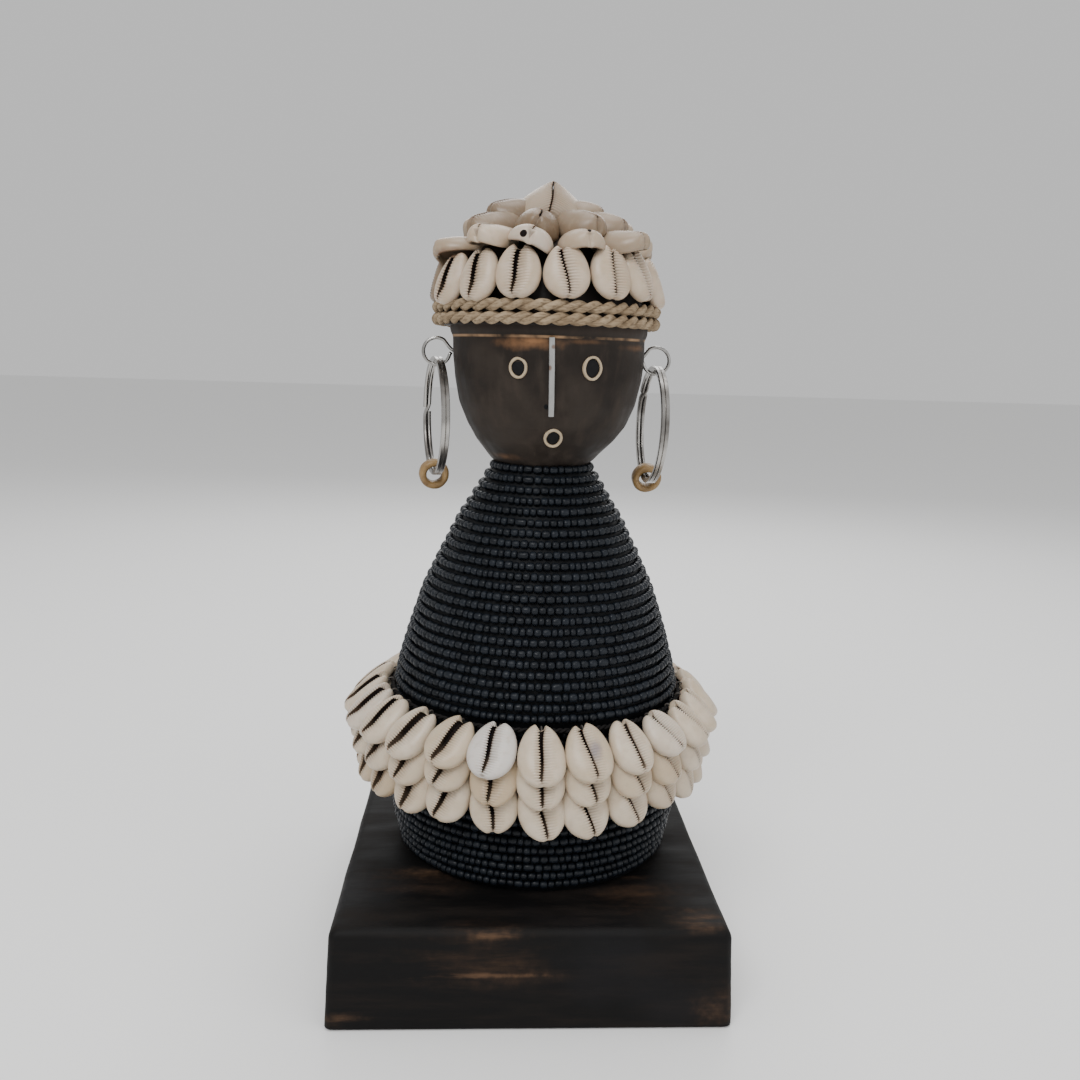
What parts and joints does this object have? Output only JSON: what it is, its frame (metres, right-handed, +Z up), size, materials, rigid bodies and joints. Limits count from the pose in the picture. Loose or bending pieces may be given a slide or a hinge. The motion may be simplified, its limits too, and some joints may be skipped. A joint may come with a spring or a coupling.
{
  "type": "fertility doll",
  "caption": "Carved doll wrapped in dark glass beads, with a cowrie-shell cap and hinged shell skirt, swinging ear hoops and a block stand.",
  "frame": {"origin": "underside of the stand, straight below the axis of the doll", "axes": "+Z up along the doll's axis, -Y the way the face looks, +X to the viewer's right when facing it"},
  "size_m": [0.1301, 0.1394, 0.2521],
  "materials": {
    "stand_wood": "near-black stain worn to brown on edges",
    "carved_wood": "dark oiled wood, worn orange-brown at the brim",
    "glass_beads": "opaque blue-black seed beads, soft gloss",
    "hide_cord": "dark hide cord",
    "cap_hide": "dark waxed hide",
    "reed": "cream reed, satin",
    "pitch": "dark flat pitch",
    "nose_metal": "dull light grey with rust spots",
    "wire_steel": "nickel-plated wire",
    "nickel": "nickel-plated split ring, slightly tarnished",
    "screw_steel": "plain steel",
    "ochre_bead": "opaque ochre glass, satin",
    "rope": "twisted plant-fibre cord",
    "cowrie_cap": "satin shell, greyish cream",
    "cowrie_skirt": "satin shell, warm cream"
  },
  "bodies": {
    "doll": {"base_block": "stand_wood", "base_screw_left": "screw_steel", "base_screw_right": "screw_steel", "carved_figure": "carved_wood", "bead_winding_lower": "glass_beads", "bead_winding_upper": "glass_beads", "waist_cord": "hide_cord", "eye_ring_left": "reed", "eye_ring_right": "reed", "pupil_left": "pitch", "pupil_right": "pitch", "mouth_ring": "reed", "mouth_plug": "pitch", "nose_strip": "nose_metal", "screw_eye_left": "wire_steel", "screw_eye_right": "wire_steel", "cap_hide": "cap_hide", "rope_turn_lower": "rope", "rope_turn_upper": "rope", "cap_side_shells": "cowrie_cap", "cap_rim_shells": "cowrie_cap", "cap_upper_shells": "cowrie_cap", "cap_crown_shells": "cowrie_cap", "cap_top_shell": "cowrie_cap"},
    "hoop_left": {"hoop_left": "nickel"},
    "hoop_bead_left": {"hoop_bead_left": "ochre_bead"},
    "hoop_right": {"hoop_right": "nickel"},
    "hoop_bead_right": {"hoop_bead_right": "ochre_bead"},
    "skirt_strand_01": {"skirt_strand_01": "cowrie_skirt"},
    "skirt_strand_02": {"skirt_strand_02": "cowrie_skirt"},
    "skirt_strand_03": {"skirt_strand_03": "cowrie_skirt"},
    "skirt_strand_04": {"skirt_strand_04": "cowrie_skirt"},
    "skirt_strand_05": {"skirt_strand_05": "cowrie_skirt"},
    "skirt_strand_06": {"skirt_strand_06": "cowrie_skirt"},
    "skirt_strand_07": {"skirt_strand_07": "cowrie_skirt"},
    "skirt_strand_08": {"skirt_strand_08": "cowrie_skirt"},
    "skirt_strand_09": {"skirt_strand_09": "cowrie_skirt"},
    "skirt_strand_10": {"skirt_strand_10": "cowrie_skirt"},
    "skirt_strand_11": {"skirt_strand_11": "cowrie_skirt"},
    "skirt_strand_12": {"skirt_strand_12": "cowrie_skirt"},
    "skirt_strand_13": {"skirt_strand_13": "cowrie_skirt"},
    "skirt_strand_14": {"skirt_strand_14": "cowrie_skirt"},
    "skirt_strand_15": {"skirt_strand_15": "cowrie_skirt"},
    "skirt_strand_16": {"skirt_strand_16": "cowrie_skirt"},
    "skirt_strand_17": {"skirt_strand_17": "cowrie_skirt"},
    "skirt_strand_18": {"skirt_strand_18": "cowrie_skirt"},
    "skirt_strand_19": {"skirt_strand_19": "cowrie_skirt"},
    "skirt_strand_20": {"skirt_strand_20": "cowrie_skirt"},
    "skirt_strand_21": {"skirt_strand_21": "cowrie_skirt"},
    "skirt_strand_22": {"skirt_strand_22": "cowrie_skirt"},
    "skirt_strand_23": {"skirt_strand_23": "cowrie_skirt"},
    "skirt_strand_24": {"skirt_strand_24": "cowrie_skirt"},
    "skirt_strand_25": {"skirt_strand_25": "cowrie_skirt"}
  },
  "joints": [
    {"name": "hoop_left_swing", "type": "hinge", "parent": "doll", "child": "hoop_left", "pos_m": [-0.037, 0, 0.1936], "axis": [0.9767, 0.2147, 0], "range_deg": [-45, 45]},
    {"name": "hoop_bead_left_slide", "type": "hinge", "parent": "hoop_left", "child": "hoop_bead_left", "pos_m": [-0.037, 0, 0.1767], "axis": [0.9767, 0.2147, 0], "range_deg": [-128, 112]},
    {"name": "hoop_right_swing", "type": "hinge", "parent": "doll", "child": "hoop_right", "pos_m": [0.0372, 0, 0.1925], "axis": [0.9976, 0.0698, 0], "range_deg": [-45, 45]},
    {"name": "hoop_bead_right_slide", "type": "hinge", "parent": "hoop_right", "child": "hoop_bead_right", "pos_m": [0.0372, 0, 0.1756], "axis": [0.9976, 0.0698, 0], "range_deg": [-140, 100]},
    {"name": "skirt_strand_01_lift", "type": "hinge", "parent": "doll", "child": "skirt_strand_01", "pos_m": [-0.00026, -0.0501, 0.085], "axis": [-1, 0.0052, 0], "range_deg": [0, 30]},
    {"name": "skirt_strand_02_lift", "type": "hinge", "parent": "doll", "child": "skirt_strand_02", "pos_m": [0.01221, -0.04859, 0.085], "axis": [-0.9699, -0.2436, 0], "range_deg": [0, 30]},
    {"name": "skirt_strand_03_lift", "type": "hinge", "parent": "doll", "child": "skirt_strand_03", "pos_m": [0.02391, -0.04403, 0.085], "axis": [-0.8788, -0.4772, 0], "range_deg": [0, 30]},
    {"name": "skirt_strand_04_lift", "type": "hinge", "parent": "doll", "child": "skirt_strand_04", "pos_m": [0.0341, -0.0367, 0.085], "axis": [-0.7325, -0.6807, 0], "range_deg": [0, 30]},
    {"name": "skirt_strand_05_lift", "type": "hinge", "parent": "doll", "child": "skirt_strand_05", "pos_m": [0.04216, -0.02707, 0.085], "axis": [-0.5402, -0.8415, 0], "range_deg": [0, 30]},
    {"name": "skirt_strand_06_lift", "type": "hinge", "parent": "doll", "child": "skirt_strand_06", "pos_m": [0.04757, -0.01573, 0.085], "axis": [-0.314, -0.9494, 0], "range_deg": [0, 30]},
    {"name": "skirt_strand_07_lift", "type": "hinge", "parent": "doll", "child": "skirt_strand_07", "pos_m": [0.04998, -0.00341, 0.085], "axis": [-0.068, -0.9977, 0], "range_deg": [0, 30]},
    {"name": "skirt_strand_08_lift", "type": "hinge", "parent": "doll", "child": "skirt_strand_08", "pos_m": [0.04926, 0.00913, 0.085], "axis": [0.1822, -0.9833, 0], "range_deg": [0, 30]},
    {"name": "skirt_strand_09_lift", "type": "hinge", "parent": "doll", "child": "skirt_strand_09", "pos_m": [0.04544, 0.02109, 0.085], "axis": [0.421, -0.907, 0], "range_deg": [0, 30]},
    {"name": "skirt_strand_10_lift", "type": "hinge", "parent": "doll", "child": "skirt_strand_10", "pos_m": [0.03877, 0.03173, 0.085], "axis": [0.6334, -0.7738, 0], "range_deg": [0, 30]},
    {"name": "skirt_strand_11_lift", "type": "hinge", "parent": "doll", "child": "skirt_strand_11", "pos_m": [0.02966, 0.04038, 0.085], "axis": [0.8059, -0.592, 0], "range_deg": [0, 30]},
    {"name": "skirt_strand_12_lift", "type": "hinge", "parent": "doll", "child": "skirt_strand_12", "pos_m": [0.01869, 0.04648, 0.085], "axis": [0.9278, -0.373, 0], "range_deg": [0, 30]},
    {"name": "skirt_strand_13_lift", "type": "hinge", "parent": "doll", "child": "skirt_strand_13", "pos_m": [0.00654, 0.04967, 0.085], "axis": [0.9914, -0.1305, 0], "range_deg": [0, 30]},
    {"name": "skirt_strand_14_lift", "type": "hinge", "parent": "doll", "child": "skirt_strand_14", "pos_m": [-0.00602, 0.04974, 0.085], "axis": [0.9928, 0.1201, 0], "range_deg": [0, 30]},
    {"name": "skirt_strand_15_lift", "type": "hinge", "parent": "doll", "child": "skirt_strand_15", "pos_m": [-0.0182, 0.04668, 0.085], "axis": [0.9317, 0.3633, 0], "range_deg": [0, 30]},
    {"name": "skirt_strand_16_lift", "type": "hinge", "parent": "doll", "child": "skirt_strand_16", "pos_m": [-0.02924, 0.04068, 0.085], "axis": [0.8121, 0.5835, 0], "range_deg": [0, 30]},
    {"name": "skirt_strand_17_lift", "type": "hinge", "parent": "doll", "child": "skirt_strand_17", "pos_m": [-0.03843, 0.03214, 0.085], "axis": [0.6414, 0.7672, 0], "range_deg": [0, 30]},
    {"name": "skirt_strand_18_lift", "type": "hinge", "parent": "doll", "child": "skirt_strand_18", "pos_m": [-0.04522, 0.02157, 0.085], "axis": [0.4305, 0.9026, 0], "range_deg": [0, 30]},
    {"name": "skirt_strand_19_lift", "type": "hinge", "parent": "doll", "child": "skirt_strand_19", "pos_m": [-0.04916, 0.00965, 0.085], "axis": [0.1925, 0.9813, 0], "range_deg": [0, 30]},
    {"name": "skirt_strand_20_lift", "type": "hinge", "parent": "doll", "child": "skirt_strand_20", "pos_m": [-0.05002, -0.00288, 0.085], "axis": [-0.0576, 0.9983, 0], "range_deg": [0, 30]},
    {"name": "skirt_strand_21_lift", "type": "hinge", "parent": "doll", "child": "skirt_strand_21", "pos_m": [-0.04773, -0.01523, 0.085], "axis": [-0.304, 0.9527, 0], "range_deg": [0, 30]},
    {"name": "skirt_strand_22_lift", "type": "hinge", "parent": "doll", "child": "skirt_strand_22", "pos_m": [-0.04244, -0.02662, 0.085], "axis": [-0.5314, 0.8471, 0], "range_deg": [0, 30]},
    {"name": "skirt_strand_23_lift", "type": "hinge", "parent": "doll", "child": "skirt_strand_23", "pos_m": [-0.03449, -0.03634, 0.085], "axis": [-0.7254, 0.6884, 0], "range_deg": [0, 30]},
    {"name": "skirt_strand_24_lift", "type": "hinge", "parent": "doll", "child": "skirt_strand_24", "pos_m": [-0.02437, -0.04378, 0.085], "axis": [-0.8738, 0.4863, 0], "range_deg": [0, 30]},
    {"name": "skirt_strand_25_lift", "type": "hinge", "parent": "doll", "child": "skirt_strand_25", "pos_m": [-0.01271, -0.04846, 0.085], "axis": [-0.9673, 0.2538, 0], "range_deg": [0, 30]}
  ]
}
